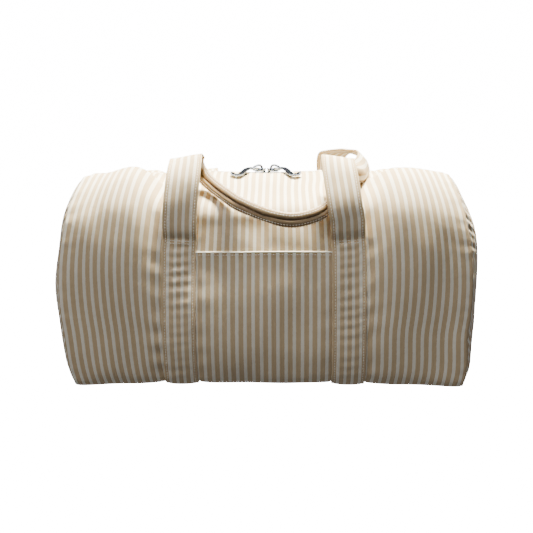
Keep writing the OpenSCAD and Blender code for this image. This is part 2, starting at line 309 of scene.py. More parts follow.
def shell_panel(name, side, lift, thickness, margin=0.0):
    """A wrap panel, front or back; a margin keeps it clear of the end seams and the zipper."""
    count_s, count_t = 250, 190
    s = np.linspace(-1, 1, count_s) * (1 - margin)
    t = np.linspace(0.4 * margin, 1, count_t)
    ss, tt = np.meshgrid(s, t, indexing="ij")
    points = wrap(ss, tt, side, lift)
    cloth = np.stack([ss * FLAT_X, tt * FLAT_T], axis=-1)
    return thick_sheet(name, points, cloth, thickness, flip=side > 0)


def end_loop(side, count, inset=0.0):
    """The end seam, all round, starting at the zipper's front edge."""
    t = np.linspace(0, 1, count)
    front = wrap(side, t, -1, -inset)
    back = wrap(side, t[::-1], 1, -inset)
    gap = 12
    over = np.linspace(back[-1], front[0], gap)[1:-1]
    under = np.linspace(front[-1], back[0], 60)[1:-1]
    return np.vstack([front, under, back, over])


def end_panel(name, side, inset, thickness, dome=0.0):
    """A domed end: rings that grow from the middle to the seam."""
    loop = end_loop(side, 150, inset)
    rings = 56
    r = np.linspace(0, 1, rings)[:, None] ** 0.8
    centre = np.array([0.0, 0.0, 118.0])
    flat = centre[None, None, 1:] + r[..., None] * (loop[None, :, 1:] - centre[1:])
    middle_x = side * (HALF_LEN - 6 + dome)
    x = middle_x + (loop[None, :, 0] - middle_x) * r**3.4
    run = np.concatenate([[0], np.cumsum(np.linalg.norm(np.diff(loop, axis=0), axis=1))])
    near = (1 - r) * 110
    pucker = 1.1 * np.exp(-near / 9) * smooth(0, 4, near) * waves(run[None, :], 9, 17, 57 + side)
    hills = 1.6 * smooth(0, 25, near) * folds(flat[..., 0], flat[..., 1], 80, 61 + side, 1.4)
    x = x + side * (pucker + hills * (1 if dome == 0 else 0))
    points = np.concatenate([x[..., None], flat], axis=-1)
    cols = len(loop)
    outer = points.reshape(-1, 3)
    inner = outer - np.array([side * thickness, 0, 0])
    verts = np.vstack([outer, inner])
    total = rings * cols
    top = grid_faces(rings, cols, wrap_cols=True, flip=side > 0)
    low = grid_faces(rings, cols, wrap_cols=True, flip=side < 0, start=total)
    last = np.arange(cols) + (rings - 1) * cols
    nxt = np.roll(last, -1)
    rim = np.stack([last, nxt, nxt + total, last + total], axis=1)
    cloth = np.vstack([flat.reshape(-1, 2)] * 2)
    obj = mesh_object(name, verts, np.vstack([top, low, rim if side < 0 else rim[:, ::-1]]), cloth)
    weld(obj)
    return obj


def weld(obj, distance=0.00002):
    """Merges points that lie on each other, distance in m."""
    mod = obj.modifiers.new("weld", "WELD")
    mod.merge_threshold = distance
    apply_modifiers(obj)


def apply_modifiers(obj):
    """Replaces the mesh by what its modifiers make of it."""
    graph = bpy.context.evaluated_depsgraph_get()
    done = bpy.data.meshes.new_from_object(obj.evaluated_get(graph))
    obj.modifiers.clear()
    obj.data = done


def binding(name, side):
    """Folded tape over the seam allowance, inside the end seam."""
    loop = end_loop(side, 150, 5.0)
    loop[:, 0] -= side * 4.5
    loop = np.vstack([loop, loop[:1]])
    return join_parts(name, [tube(loop[::2], 1.5, 10)])


def bottom(name, rise, thickness, margin):
    """The panel between the two bottom seams; it rests on the floor but for its edges."""
    s = np.linspace(-1, 1, 200) * (1 - margin / HALF_LEN)
    front = wrap(s, 1.0, -1)
    back = wrap(s, 1.0, 1)
    w = np.linspace(0, 1, 60)[None, :, None]
    points = front[:, None] * (1 - w) + back[:, None] * w
    flat = smooth(0, 0.12, w) * smooth(1, 0.88, w)
    points[..., 2:] = points[..., 2:] * (1 - flat) + FLOOR_Z * flat + rise
    return thick_sheet(name, points, points[..., :2], thickness, flip=True)


# ---------------------------------------------------------------- straps


class Strap:
    """A long ribbon that follows a list of stations and rolls up lengthwise into a grip.

    Each station is x, y, z, the outer face's direction (3 numbers) and how far it is rolled, 0 to 1."""

    def __init__(self, stations, pucker, side_y):
        table = through(stations, 1400)
        self.points = table[:, :3]
        self.length = float(np.linalg.norm(np.diff(self.points, axis=0), axis=1).sum())
        self.run = np.linspace(0, self.length, len(table))
        self.tangent = unit(np.gradient(self.points, axis=0))
        face = table[:, 3:6]
        face = face - self.tangent * (face * self.tangent).sum(1, keepdims=True)
        self.face = unit(face)
        self.across = np.cross(self.face, self.tangent)
        self.roll = np.clip(table[:, 6], 0, 1)
        self.pucker = pucker
        self.side_y = side_y
        self.shell_t = self.find_shell_t()

    def find_shell_t(self):
        """Where each point of the centre line lies on the shell, from zipper to bottom seam."""
        t = np.linspace(0.15, 1, 600)
        line = wrap_at(STRAP_X, t, self.side_y, 0.0)
        return np.interp(-self.points[:, 2], -line[:, 2], t)

    def sample(self, values, v):
        """A value kept per station, or a row of them, at v along the strap."""
        if values.ndim == 1:
            return np.interp(v, self.run, values)
        return np.stack([np.interp(v, self.run, values[:, k]) for k in range(values.shape[1])], axis=-1)

    def at(self, u, v, lift=0.0):
        """Point and face direction at u across (mm from the centre line) and v along."""
        u, v = np.broadcast_arrays(np.asarray(u, float), np.asarray(v, float))
        p, face, across = (self.sample(a, v) for a in (self.points, self.face, self.across))
        turn = np.maximum(self.sample(self.roll, v) * 2 * math.pi * 0.995, 1e-3)
        radius = STRAP_W / turn
        angle = u / radius
        pressed = smooth(0.6, 1.0, turn / (2 * math.pi))
        square = 1 - 0.42 * pressed
        sine, cosine = np.sin(angle), np.cos(angle)
        sideways = radius * (1 + 0.12 * pressed) * np.sign(sine) * np.abs(sine) ** square
        down = radius * (1 - (1 - 0.3 * pressed) * np.sign(cosine) * np.abs(cosine) ** square)
        down = down - radius * smooth(0.3, 1.0, turn / (2 * math.pi))
        toward = (np.sign(cosine) * np.abs(cosine) ** (2 - square))[..., None]
        aside = (np.sign(sine) * np.abs(sine) ** (2 - square))[..., None]
        normal = unit(face * toward + across * aside)
        lift = lift + self.pucker(u, v, self)
        place = p + across * sideways[..., None] - face * down[..., None]
        place = place + normal * np.asarray(lift)[..., None]
        sewn = smooth(HINGE_Z - 1, HINGE_Z - 9, p[..., 2])[..., None]
        if sewn.max() > 0:
            x = p[..., 0] + across[..., 0] * u
            t = self.sample(self.shell_t, v)
            on_shell = wrap_at(x, t, self.side_y, 1.3 + lift)
            below = wrap_at(x, t, self.side_y, 0.3 + lift)
            place = place * (1 - sewn) + on_shell * sewn
            normal = normal * (1 - sewn) + (on_shell - below) * sewn
        return place, unit(normal)


def strap_thickness(u):
    """Half thickness across the strap: rounded folded edges and a shallow channel at each stitch row."""
    u = np.abs(u)
    edge = np.clip((u - STRAP_W / 2 + 1.2) / 1.2, 0, 1)
    body = STRAP_T / 2 * np.sqrt(1 - 0.97 * edge**2)
    return body - 0.35 * bump(u, STRAP_W / 2 - ROW_OUTER, 0.9) - 0.2 * bump(u, STRAP_W / 2 - ROW_INNER, 0.8)


def strap_mesh(name, strap):
    """The strap as one closed mesh, with how far each point is rolled up."""
    count_v = int(strap.length / 2.2)
    half = STRAP_W / 2
    u = np.concatenate([np.linspace(-half, -half + 2.4, 7), np.linspace(-half + 3.2, half - 3.2, 25),
                        np.linspace(half - 2.4, half, 7)])
    v = np.linspace(0, strap.length, count_v)
    vv, uu = np.meshgrid(v, u, indexing="ij")
    thick = strap_thickness(uu)
    upper = strap.at(uu, vv, thick)[0]
    lower = strap.at(uu, vv, -thick)[0]
    ring = np.concatenate([upper, lower[:, ::-1]], axis=1)
    rolled = strap.sample(strap.roll, vv)
    cloth = np.stack([uu * (1.11 - 0.56 * rolled), vv], axis=-1)
    cloth = np.concatenate([cloth, cloth[:, ::-1]], axis=1)
    rows, cols = ring.shape[:2]
    faces = [tuple(f) for f in grid_faces(rows, cols, wrap_cols=True)]
    faces.append(tuple(range(cols))[::-1])
    faces.append(tuple(range((rows - 1) * cols, rows * cols)))
    obj = mesh_object(name, ring.reshape(-1, 3), faces, cloth.reshape(-1, 2))
    # the rolled amount, smoothed, is also the mask for the painted shade on the grip in the strap material
    shade = obj.data.attributes.new("rolled", "FLOAT", "POINT")
    rolled = np.concatenate([rolled, rolled[:, ::-1]], axis=1)
    shade.data.foreach_set("value", smooth(0.3, 0.95, rolled).astype(np.float32).ravel())
    return obj


def stitch_row(place, normal, length=2.6, pitch=3.3, thread=0.36):
    """Thread stitches along a line of points, each a small capsule that dips in at both ends."""
    run = np.concatenate([[0], np.cumsum(np.linalg.norm(np.diff(place, axis=0), axis=1))])
    starts = np.arange(pitch / 2, run[-1] - length, pitch)
    parts = []
    steps = np.linspace(0, 1, 6)
    for start in starts:
        at = start + steps * length
        p = np.stack([np.interp(at, run, place[:, k]) for k in range(3)], axis=1)
        n = np.stack([np.interp(at, run, normal[:, k]) for k in range(3)], axis=1)
        p = p + unit(n) * (0.28 * np.sin(math.pi * steps) - 0.12)[:, None]
        parts.append(tube(p, thread * (0.55 + 0.45 * np.sin(math.pi * steps)), 6))
    return parts


def sewn_stations(side_x, side_y, upward):
    """Stations of a strap on the shell from the bottom seam to just under the stitching."""
    t = np.linspace(0.99, 0.30, 160)
    base = wrap_at(side_x * STRAP_X, t, side_y)
    keep = base[:, 2] < HINGE_Z - 5
    t = t[keep][:: max(1, int(keep.sum() / 9))]
    low = wrap_at(side_x * STRAP_X, t + 0.004, side_y, 1.5)
    here = wrap_at(side_x * STRAP_X, t, side_y, 1.5)
    up = unit(here - low)
    face = np.cross(up, [1.0, 0, 0])
    face = face * np.sign(face[:, 1:2] * side_y)
    rows = np.concatenate([here, face, np.zeros((len(here), 1))], axis=1)
    return rows if upward else rows[::-1]


def sewn_pucker(strap_ends):
    """Puckers on the sewn lengths: loose between the stitch rows, tight at them."""

    def pucker(u, v, strap):
        z = strap.sample(strap.points, v)[..., 2]
        sewn = smooth(HINGE_Z + 4, HINGE_Z - 6, z)
        loose = np.cos(np.clip(np.abs(u) / (STRAP_W / 2 - 3), 0, 1) * math.pi / 2)
        strength = 0.7 + 0.8 * smooth(HINGE_Z - 110, HINGE_Z - 60, z)
        ripple = waves(v + 0.12 * u, 8.5, 14, strap_ends)
        free = 0.5 * (1 - sewn) * folds(u, v, 40, strap_ends + 5, 1.5)
        return sewn * loose * strength * (0.55 + 0.6 * ripple) + free

    return pucker


# Stations of the free lengths, from stitching to stitching, as Strap takes them.
FRONT_FREE = [
    (-93.6, -104.8, 168, 0, -1, 0, 0), (-93.4, -105.4, 171, 0, -1, 0, 0), (-93.1, -109, 178, 0, -1, 0, 0),
    (-92.8, -109.5, 190, 0, -1, 0.1, 0), (-91.5, -106.5, 212, 0, -1, 0.15, 0),
    (-89.5, -99, 236, 0, -1, 0.3, 0), (-88.5, -88, 252, -0.1, -0.8, 0.6, 0),
    (-88, -75, 260.5, -0.2, -0.1, 1, 0), (-81.5, -64, 252, -0.2, 1, 0.3, 0.45),
    (-71, -65, 238.5, 0, 1, 0.05, 0.95), (-57, -77, 226.5, 0, 1, 0.05, 1), (-41, -91, 216, 0, 1, 0.05, 1),
    (-25, -103, 207, 0, 1, 0.08, 1), (2.6, -113.5, 196, 0, 1, 0.08, 1), (30.5, -115, 191, 0, 1, 0.08, 1),
    (54, -110, 194.5, 0, 1, 0.05, 1), (70, -101.5, 203, 0, 1, 0.05, 1),
    (79, -90, 213.5, 0.2, 1, 0.05, 0.95), (84, -77, 225, 0.1, 1, 0.1, 0.6), (85, -66, 241, 0, 1, 0.1, 0.15),
    (83.3, -66, 252.5, 0, 0.6, 0.7, 0), (82.6, -79, 258.5, 0.13, -0.2, 1, 0),
    (83.5, -94, 246, 0, -1, 0.5, 0), (86.5, -106, 224, 0, -1, 0.3, 0), (89.5, -112, 203, 0, -1, 0.1, 0),
    (91.8, -111.5, 190, 0, -1, 0.1, 0), (92.7, -109.5, 178, 0, -1, 0, 0), (93.4, -105.4, 171, 0, -1, 0, 0),
    (93.6, -104.8, 168, 0, -1, 0, 0),
]
BACK_FREE = [
    (93.6, 105.3, 168.5, 0, 1, 0.1, 0), (93.2, 112, 177, 0, 1, 0.1, 0), (92, 107, 196, 0, 1, 0.2, 0),
    (88, 102, 220, 0, 1, 0.2, 0), (85, 95, 244, 0, 1, 0.3, 0), (85, 78, 264, 0, 0.6, 0.8, 0),
    (94, 46, 269, 0.05, 0.1, 1, 0), (109, 14, 265, 0.5, -0.2, 0.9, 0), (120, -14, 255, 0.9, -0.3, 0.4, 0.1),
    (118, -42, 245, 0.8, -0.6, 0.1, 0.3), (108, -58, 240, 0.2, -0.9, 0.3, 0.7),
    (96, -48, 244, -0.2, -0.6, 0.7, 1), (87, -18, 252, 0, 0, 1, 1), (81, 10, 252, 0, 0, 1, 1),
    (75, 32, 244, 0, -0.3, 1, 1), (62, 55, 233, 0, -0.8, 0.6, 1), (48, 80, 221, 0, -1, 0.4, 1),
    (28, 102, 207, 0, -1, 0.35, 1), (2, 113, 196, 0, -1, -0.35, 1), (-26, 115, 191, 0, -1, -0.35, 1),
    (-54, 112, 194.5, 0, -1, -0.3, 1), (-70, 103, 203, 0, -1, -0.1, 1), (-80, 89, 213.5, -0.2, -1, 0, 0.95),
    (-85, 76, 223, -0.1, -1, 0, 0.6), (-86, 66, 234, 0, -1, 0.1, 0.15), (-86, 68, 243, 0, -0.6, 0.7, 0),
    (-87, 80, 246.5, -0.1, 0.2, 1, 0), (-88, 94, 236, 0, 1, 0.5, 0), (-90, 103, 218, 0, 1, 0.3, 0),
    (-91.5, 108, 196, 0, 1, 0.2, 0), (-93, 112, 177, 0, 1, 0.1, 0), (-93.6, 105.3, 168.5, 0, 1, 0.1, 0),
]


def strap_piece(which, side_y, free, seed):
    """The whole strap of one handle, with its stitching."""
    first = -1 if side_y < 0 else 1
    rows = np.vstack([sewn_stations(first, side_y, True), free, sewn_stations(-first, side_y, False)])
    strap = Strap(rows, sewn_pucker(seed), side_y)
    body = strap_mesh(which + "_strap", strap)
    v = np.linspace(1, strap.length - 1, 900)
    parts = []
    for u in (-1, 1):
        for inset in (ROW_OUTER, ROW_INNER):
            edge = np.full(v.shape, u * (STRAP_W / 2 - inset))
            parts += stitch_row(*strap.at(edge, v, strap_thickness(edge)))
    z = strap.points[:, 2]
    half = len(z) // 2
    u = np.linspace(-STRAP_W / 2 + 3, STRAP_W / 2 - 3, 60)
    for level in (HINGE_Z - 1.0, HINGE_Z - 4.2):
        up_v = np.interp(level, z[: half // 2], strap.run[: half // 2])
        down_v = np.interp(-level, -z[-(half // 2):], strap.run[-(half // 2):])
        for cross in (up_v, down_v):
            parts += stitch_row(*strap.at(u, np.full(u.shape, cross), strap_thickness(u) + 0.25))
    thread = join_parts(which + "_strap_stitching", parts)
    handle = which + "_handle"
    nodes = [which + "_left_strap", which + "_right_strap", handle + "_left_riser", handle + "_right_riser",
             handle + "_grip"]
    for obj in (body, thread):
        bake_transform(obj)
    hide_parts(*nodes)
    return body, thread


# ---------------------------------------------------------------- materials


class Nodes:
    """Short names for building a material's nodes."""

    def __init__(self, name):
        self.material = bpy.data.materials.new(name)
        self.material.use_nodes = True
        self.tree = self.material.node_tree
        self.shader = self.tree.nodes["Principled BSDF"]

    def add(self, kind, **settings):
        node = self.tree.nodes.new(kind)
        for key, value in settings.items():
            setattr(node, key, value)
        return node

    def link(self, source, target):
        self.tree.links.new(source, target)

    def math(self, operation, a, b=None, clamp=False):
        node = self.add("ShaderNodeMath", operation=operation, use_clamp=clamp)
        for index, value in enumerate((a, b)):
            if isinstance(value, (int, float)):
                node.inputs[index].default_value = value
            elif value is not None:
                self.link(value, node.inputs[index])
        return node.outputs[0]

    def cloth_uv(self):
        node = self.add("ShaderNodeUVMap", uv_map="cloth")
        split = self.add("ShaderNodeSeparateXYZ")
        self.link(node.outputs[0], split.inputs[0])
        return split.outputs[0], split.outputs[1]

    def noise(self, scale, detail=3.0, rough=0.5, vector=None):
        node = self.add("ShaderNodeTexNoise")
        node.inputs["Scale"].default_value = scale
        node.inputs["Detail"].default_value = detail
        node.inputs["Roughness"].default_value = rough
        if vector is None:
            vector = self.add("ShaderNodeTexCoord").outputs["Object"]
        self.link(vector, node.inputs["Vector"])
        return node.outputs["Fac"]

    def span(self, value, low, high, to_low, to_high, kind="SMOOTHSTEP"):
        node = self.add("ShaderNodeMapRange", interpolation_type=kind)
        self.link(value, node.inputs["Value"])
        for key, number in (("From Min", low), ("From Max", high), ("To Min", to_low), ("To Max", to_high)):
            node.inputs[key].default_value = number
        return node.outputs["Result"]

    def mix(self, factor, a, b, kind="MIX"):
        node = self.add("ShaderNodeMix", data_type="RGBA", blend_type=kind)
        for socket, value in ((node.inputs["Factor"], factor), (node.inputs["A"], a), (node.inputs["B"], b)):
            if isinstance(value, (int, float)):
                socket.default_value = value
            elif isinstance(value, tuple):
                socket.default_value = (*value, 1)
            else:
                self.link(value, socket)
        return node.outputs["Result"]

    def bumps(self, *layers):
        """Bump layers, each (height, strength, distance in m), stacked."""
        normal = None
        for height, strength, distance in layers:
            node = self.add("ShaderNodeBump")
            node.inputs["Strength"].default_value = strength
            node.inputs["Distance"].default_value = distance
            self.link(height, node.inputs["Height"])
            if normal is not None:
                self.link(normal, node.inputs["Normal"])
            normal = node.outputs["Normal"]
        self.link(normal, self.shader.inputs["Normal"])

    def set(self, **values):
        for key, value in values.items():
            self.shader.inputs[key.replace("_", " ")].default_value = value


WHITE = (0.80, 0.77, 0.685)
TAN = (0.525, 0.41, 0.262)
# painted shade: multiplied into the strap's colour where it is rolled into the grip, so the grip reads as
# lying in shadow
GRIP_PAINTED_SHADE = (0.62, 0.56, 0.50)


def weave_height(n, u, v, thread):
    """Height of a plain weave whose threads are this wide, in m."""
    a = n.math("SINE", n.math("MULTIPLY", u, math.pi / thread))
    b = n.math("SINE", n.math("MULTIPLY", v, math.pi / thread))
    return n.math("MULTIPLY", a, b)


def striped_cloth(name, shift, crinkle=0.6, painted_grip_shade=False):
    """Coated nylon with stripes along v; on request the cloth is darkened where it is rolled up into the
    grip, a painted shade for the grip that stands in shadow.
    """
    n = Nodes(name)
    u, v = n.cloth_uv()
    wander = n.math("MULTIPLY", n.math("SUBTRACT", n.noise(420, 2.0), 0.5), 0.0005)
    place = n.math("ADD", n.math("ADD", u, wander), shift * MM)
    phase = n.math("FRACT", n.math("DIVIDE", place, STRIPE * MM))
    side = n.math("ABSOLUTE", n.math("SUBTRACT", phase, 0.5))
    stripe = n.span(side, 0.265, 0.325, 0, 1)
    shade = n.span(n.noise(14, 4.0, 0.6), 0.3, 0.7, 0.93, 1.03)
    fleck = n.span(n.noise(2600, 1.0), 0.3, 0.7, 0.965, 1.03)
    colour = n.mix(stripe, TAN, WHITE)
    tone = n.add("ShaderNodeCombineColor")
    for index in range(3):
        n.link(n.math("MULTIPLY", shade, fleck), tone.inputs[index])
    colour = n.mix(1.0, colour, tone.outputs[0], "MULTIPLY")
    # painted shade: the rolled parts of the strap are darkened by the grip tone to stand in for the shadow on
    # the grip
    if painted_grip_shade:
        rolled = n.add("ShaderNodeAttribute", attribute_name="rolled").outputs["Fac"]
        colour = n.mix(rolled, colour, n.mix(1.0, colour, GRIP_PAINTED_SHADE, "MULTIPLY"))
    n.link(colour, n.shader.inputs["Base Color"])
    n.link(n.span(n.noise(60, 3.0), 0.3, 0.7, 0.42, 0.56), n.shader.inputs["Roughness"])
    n.bumps(
        (n.noise(38, 4.0, 0.55), crinkle, 0.0012),
        (n.noise(150, 3.0, 0.5), 0.35, 0.0004),
        (weave_height(n, u, v, 0.00045), 0.25, 0.00008),
    )
    n.set(Sheen_Weight=0.06, Coat_Weight=0.05, Coat_Roughness=0.35, Specular_IOR_Level=0.3)
    return n.material


def plain_cloth(name, colour, thread=0.0005, rough=0.8):
    n = Nodes(name)
    u, v = n.cloth_uv()
    tone = n.mix(n.noise(40, 4.0), tuple(c * 0.93 for c in colour), tuple(min(c * 1.05, 1) for c in colour))
    n.link(tone, n.shader.inputs["Base Color"])
    n.bumps((n.noise(90, 3.0), 0.3, 0.0004), (weave_height(n, u, v, thread), 0.5, 0.0001))
    n.set(Roughness=rough, Sheen_Weight=0.2)
    return n.material


def object_cloth(name, colour, rough=0.8):
    """Woven cloth on a CAD solid, which has no cloth map."""
    n = Nodes(name)
    split = n.add("ShaderNodeSeparateXYZ")
    n.link(n.add("ShaderNodeTexCoord").outputs["Object"], split.inputs[0])
    tone = n.mix(n.noise(40, 4.0), tuple(c * 0.93 for c in colour), tuple(min(c * 1.05, 1) for c in colour))
    n.link(tone, n.shader.inputs["Base Color"])
    n.bumps((weave_height(n, split.outputs[0], split.outputs[1], 0.0006), 0.5, 0.0001))
    n.set(Roughness=rough, Sheen_Weight=0.2)
    return n.material


def thread_material(name, colour):
    n = Nodes(name)
    tone = n.mix(n.noise(300, 2.0), tuple(c * 0.88 for c in colour), colour)
    n.link(tone, n.shader.inputs["Base Color"])
    n.bumps((n.noise(1800, 1.0), 0.4, 0.0001))
    n.set(Roughness=0.55, Sheen_Weight=0.3)
    return n.material


def metal(name):
    n = Nodes(name)
    n.link(n.mix(n.noise(120, 3.0), (0.40, 0.45, 0.51), (0.52, 0.57, 0.63)), n.shader.inputs["Base Color"])
    n.link(n.span(n.noise(500, 4.0), 0.3, 0.7, 0.06, 0.13), n.shader.inputs["Roughness"])
    n.bumps((n.noise(900, 2.0), 0.12, 0.00005))
    n.set(Metallic=1.0)
    return n.material


def plastic(name, colour, rough=0.4):
    n = Nodes(name)
    n.link(n.mix(n.noise(200, 2.0), tuple(c * 0.92 for c in colour), colour), n.shader.inputs["Base Color"])
    n.bumps((n.noise(1200, 2.0), 0.2, 0.00006))
    n.set(Roughness=rough)
    return n.material


def paint(obj, material):
    obj.data.materials.clear()
    obj.data.materials.append(material)


# ---------------------------------------------------------------- build

STRIPES = striped_cloth("striped_nylon", 1.6)
POCKET_STRIPES = striped_cloth("striped_nylon_pocket", 2.8)
# the strap's cloth carries painted shade on its rolled grip
STRAP_STRIPES = striped_cloth("striped_nylon_strap", STRIPE / 2, crinkle=0.35, painted_grip_shade=True)
LINING = plain_cloth("lining_weave", (0.86, 0.84, 0.79))
TAPE = plain_cloth("zipper_tape_weave", (0.80, 0.75, 0.66), 0.0004)
BINDING = object_cloth("binding_grosgrain", (0.84, 0.82, 0.77))
LINING_EDGE = object_cloth("pocket_hem_cloth", (0.84, 0.80, 0.72))
THREAD = thread_material("sewing_thread", (0.86, 0.82, 0.74))
NICKEL = metal("nickel_plate")
COIL = plastic("coil_nylon", (0.78, 0.72, 0.62))
BOARD = plastic("board_sheet", (0.06, 0.06, 0.065), 0.6)


def build_shell():
    for name, side in (("front", -1), ("back", 1)):
        panel = shell_panel(name + "_panel_cloth", side, 0.0, CLOTH_T)
        paint(panel, STRIPES)
        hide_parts(name + "_panel")
        lining = shell_panel(name + "_lining_cloth", side, -LINING_IN, LINING_T, 0.03)
        paint(lining, LINING)
        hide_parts("lining_" + name)
        for obj in (panel, lining):
            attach(obj, "bag")
    for name, side in (("left", -1), ("right", 1)):
        panel = end_panel(name + "_end_cloth", side, 0.6, CLOTH_T)
        paint(panel, STRIPES)
        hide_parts(name + "_end_panel")
        lining = end_panel(name + "_end_lining_cloth", side, 6.0, LINING_T, -4.0)
        paint(lining, LINING)
        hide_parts("lining_" + name + "_end")
        tape = binding(name + "_binding_tape", side)
        paint(tape, BINDING)
        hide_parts(name + "_seam_binding")
        for obj in (panel, lining, tape):
            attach(obj, "bag")
    base = bottom("bottom_panel_cloth", 0.0, -CLOTH_T, 0.0)
    paint(base, STRIPES)
    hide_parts("bottom_panel")
    inner = bottom("bottom_lining_cloth", 2.6, -LINING_T, 4.0)
    paint(inner, LINING)
    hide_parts("lining_bottom")
    for obj in (base, inner):
        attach(obj, "bag")


def build_pocket():
    half = STRAP_X - STRAP_W / 2 + 5
    count_x, count_z = 110, 110
    t = np.linspace(0, 1, SAMPLES)
    middle_z = on_curve(MIDDLE_CURVE, t)[:, 1]
    top_t = np.interp(-POCKET_Z, -middle_z, t)
    xx, tt = np.meshgrid(np.linspace(-half, half, count_x), np.linspace(top_t, 0.99, count_z), indexing="ij")
    down = (tt - top_t) * FLAT_T
    hem = 0.5 * smooth(5.5, 4.6, down)
    gape = 1.4 * np.cos(np.clip(xx / half, -1, 1) * math.pi / 2) * np.exp(-down / 16)
    crease = -0.45 * bump(down, 3.4, 0.7)
    loose = 0.5 * smooth(6, 30, down) * smooth(half, half - 14, np.abs(xx)) * folds(xx, down, 60, 71, 1.6)
    tucked = -1.3 * smooth(half - 8, half - 3, np.abs(xx))
    points = wrap_at(xx, tt, -1, 1.5 + hem + gape + crease + loose + tucked)
    cloth = np.stack([xx, tt * FLAT_T], axis=-1)
    pocket = thick_sheet("front_pocket_cloth", points, cloth, 1.1)
    paint(pocket, POCKET_STRIPES)
    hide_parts("front_pocket")
    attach(pocket, "bag")
    hem_line = points[:, 0] + [0, 0.2, 0.1]
    edge = join_parts("front_pocket_hem", [tube(hem_line, 0.85, 8)])
    paint(edge, LINING_EDGE)
    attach(edge, "bag")
    row = np.argmin(np.abs(down[0] - 3.4))
    line = points[:, row]
    normal = np.broadcast_to(np.array([0.0, -1.0, 0.2]), line.shape)
    thread = join_parts("front_pocket_stitching", stitch_row(line, normal))
    paint(thread, THREAD)
    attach(thread, "bag")


def build_straps():
    for which, side_y, free, seed in (("front", -1, FRONT_FREE, 81), ("back", 1, BACK_FREE, 91)):
        body, thread = strap_piece(which, side_y, free, seed)
        paint(body, STRAP_STRIPES)
        paint(thread, THREAD)


def build_zipper():
    for name, side in (("front", -1), ("back", 1)):
        count = 240
        x = np.linspace(-CHAIN_HALF - 6.5, CHAIN_HALF + 6.5, count)
        y = np.linspace(COIL_Y + 0.6, 17, 12)
        xx, yy = np.meshgrid(x, y, indexing="ij")
        edge_z = wrap_at(xx, 0.035, side)[..., 2] - 1.9
        zz = COIL_Z - 0.2 + (edge_z - COIL_Z) * smooth(COIL_Y, 17, yy)
        points = np.stack([xx, side * yy, zz], axis=-1)
        cloth = np.stack([xx, yy], axis=-1)
        tape = thick_sheet("zipper_tape_cloth_" + name, points, cloth, TAPE_T, flip=side > 0)
        paint(tape, TAPE)
        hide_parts("zipper_tape_" + name)
        pitch = 1.55
        turns = int(2 * CHAIN_HALF / pitch)
        angle = np.linspace(0, 2 * math.pi * turns, turns * 10)
        helix = np.stack([
            -CHAIN_HALF + pitch * angle / (2 * math.pi) + (pitch / 2 if side > 0 else 0),
            side * (COIL_Y + 1.5 * np.cos(angle) - 0.25),
            COIL_Z + 0.85 * np.sin(angle),
        ], axis=1)
        coil = join_parts("zipper_coil_teeth_" + name, [tube(helix, 0.34, 6)])
        paint(coil, COIL)
        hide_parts("zipper_coil_" + name)
        row = wrap(np.linspace(-0.985, 0.985, 700), 0.026, side, 0.05)
        normal = np.broadcast_to(np.array([0.0, 0.0, 1.0]), row.shape)
        thread = join_parts("zipper_stitching_" + name, stitch_row(row, normal))
        paint(thread, THREAD)
        for obj in (tape, coil, thread):
            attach(obj, "bag")


def plate(outline, low, high, edge):
    """A flat plate with rounded rims, from its outline in X and Y."""
    outline = np.asarray(outline, float)
    out = unit(outline - outline.mean(0))
    levels = ((edge, low), (0.3 * edge, low + 0.3 * edge), (0, low + edge), (0, high - edge),
              (0.3 * edge, high - 0.3 * edge), (edge, high))
    rings = [np.column_stack([outline - out * inset, np.full(len(outline), z)]) for inset, z in levels]
    count = len(outline)
    faces = [tuple(f) for f in grid_faces(len(rings), count, wrap_cols=True)]
    faces.append(tuple(range(count))[::-1])
    faces.append(tuple(range((len(rings) - 1) * count, len(rings) * count)))
    return np.vstack(rings), faces


def flat_bar(points, radius, widen):
    """A bar along a line in the XZ plane, wider across Y than it is thick."""
    verts, faces = tube(points, radius, 12)
    verts[:, 1] *= widen
    return verts, faces


def slider_parts(low, high):
    """Two plates, a post between them and an arched bridge; x runs outward from the nose."""
    length = high[0] - low[0]
    half = high[1]
    wide = [(0, 0.62), (0.1, 0.9), (0.25, 1.0), (0.45, 0.93), (0.7, 0.74), (0.92, 0.68), (1.0, 0.5)]
    side_a = through([(a * length, w * half, 0) for a, w in wide], 24)[:, :2]
    outline = np.vstack([side_a, side_a[::-1] * [1, -1]]) + [low[0], 0]
    plate_t = 1.5
    top_z = low[2] + 2 * plate_t + 3.4
    verts, faces = plate(outline, top_z - plate_t - 0.4, top_z, 0.45)
    verts[:, 2] += 2.6 * smooth(6.5, 0, verts[:, 0] - low[0])
    parts = [plate(outline, low[2], low[2] + plate_t, 0.35), (verts, faces)]
    around = np.linspace(0, 2 * math.pi, 16, endpoint=False)
    post = [(low[0] + 2.2 + 1.8 * math.cos(a), 1.6 * math.sin(a)) for a in around]
    parts.append(plate(post, low[2] + 0.4, top_z + 1.6, 0.1))
    for y in (-1, 1):
        flange = [(low[0] + 3 + 10 * k / 11, y * (half * 0.86 - 0.14 * k)) for k in range(12)]
        line = np.array([(x, yy, top_z - plate_t - 0.1) for x, yy in flange])
        parts.append(tube(line, 0.55, 8))
    arch = through([(5.2, 0, 0.2), (4.6, 0, 2.4), (6.2, 0, 5.2), (9, 0, 5.8), (12.4, 0, 4.9), (15, 0, 3.2),
                    (15.4, 0, 1.4), (14.2, 0, -0.4)], 44)
    parts.append(flat_bar(arch + [low[0], 0, top_z], 1.4, 1.3))
    foot = through([(4.8, 0, 1.2), (9, 0, 1.2), (15, 0, 0.4)], 16)
    parts.append(flat_bar(foot + [low[0], 0, top_z], 1.2, 1.4))
    return parts


def roof_z(x, y):
    """Greatest height of the front roof that a point of a pull passes over as its slider travels."""
    heights = []
    for place in np.arange(x, min(x + SLIDER_TRAVEL, CHAIN_HALF + 9), 15):
        line = wrap_at(np.full(120, place), np.linspace(0, 0.2, 120), -1)
        heights.append(float(np.interp(-y, -line[:, 1], line[:, 2])))
    return max(heights)


